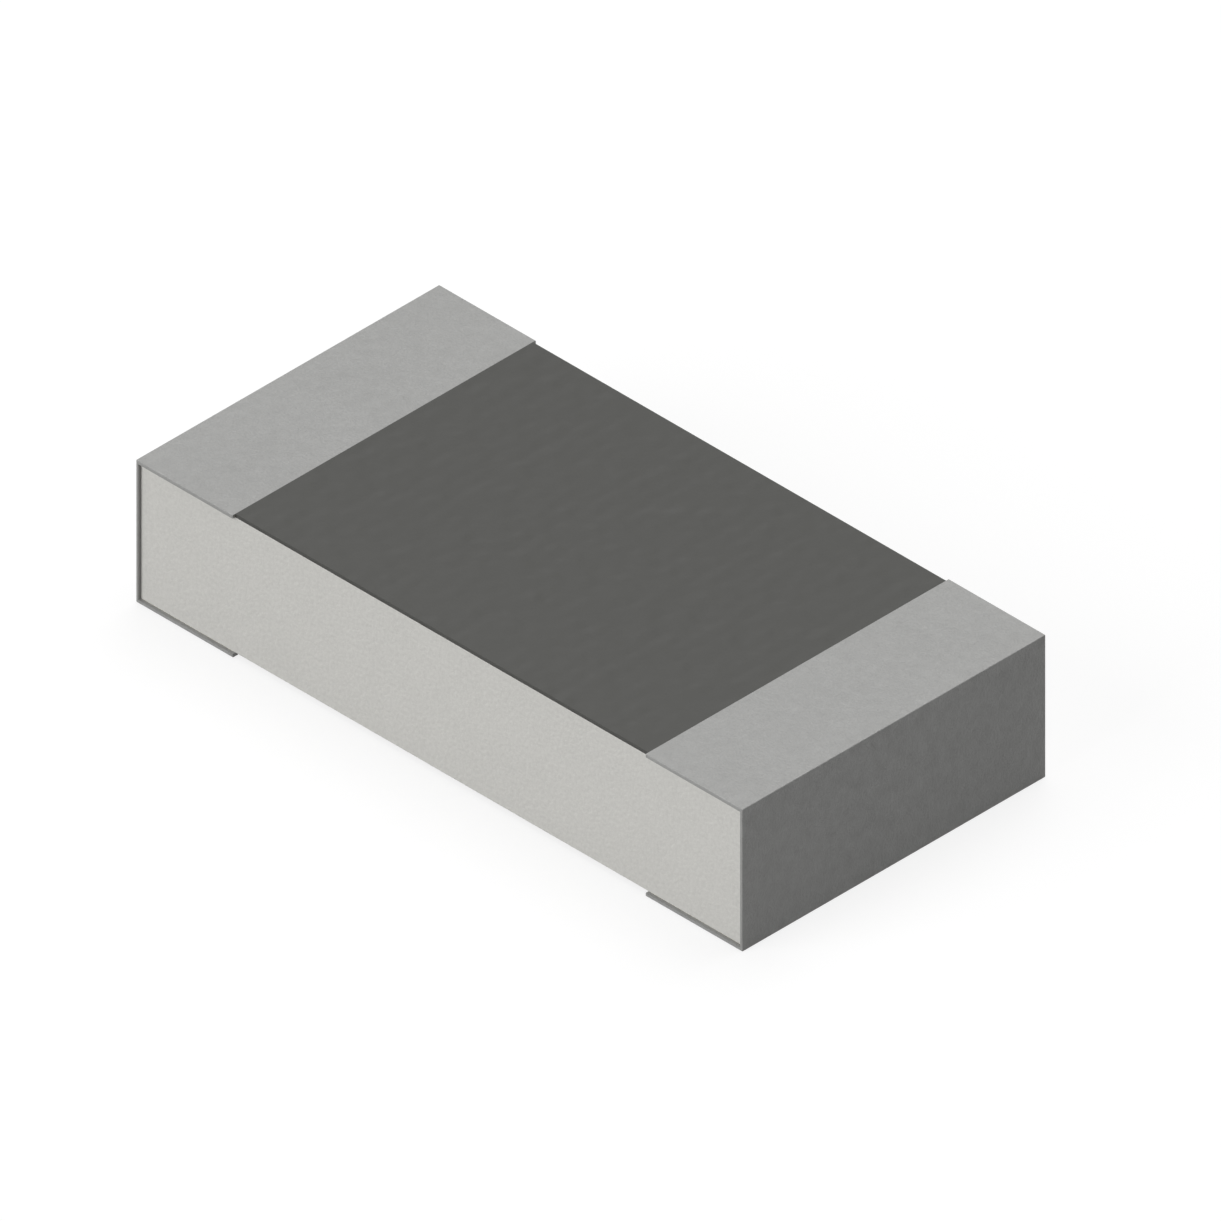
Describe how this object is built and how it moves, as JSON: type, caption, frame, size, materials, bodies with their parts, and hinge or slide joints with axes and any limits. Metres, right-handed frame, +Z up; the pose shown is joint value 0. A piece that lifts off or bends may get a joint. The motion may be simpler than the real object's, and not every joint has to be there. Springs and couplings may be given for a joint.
{
  "type": "smd chip resistor",
  "caption": "Thick-film chip resistor for surface mounting: alumina plate with wrap-round tinned terminals and a dark coat.",
  "frame": {"origin": "middle of the underside, level with the two solder lands", "axes": "+X along the chip from terminal to terminal, +Y across it, +Z up through the coated face"},
  "size_m": [0.0032, 0.0016, 0.0007],
  "materials": {
    "alumina": "matte",
    "tin": "matte",
    "nickel": "satin",
    "end_film_metal": "satin",
    "silver_print": "matte",
    "resistor_print": "satin",
    "undercoat_glass": "gloss",
    "coat_resin": "satin"
  },
  "bodies": {
    "root": {"ceramic_substrate": "alumina", "top_electrode_left": "silver_print", "top_electrode_right": "silver_print", "back_electrode_left": "silver_print", "back_electrode_right": "silver_print", "resistor_film": "resistor_print", "glass_undercoat": "undercoat_glass", "protective_overcoat": "coat_resin", "end_electrode_left": "end_film_metal", "end_electrode_right": "end_film_metal", "nickel_barrier_left": "nickel", "nickel_barrier_right": "nickel", "tin_plating_left": "tin", "tin_plating_right": "tin"}
  },
  "joints": []
}
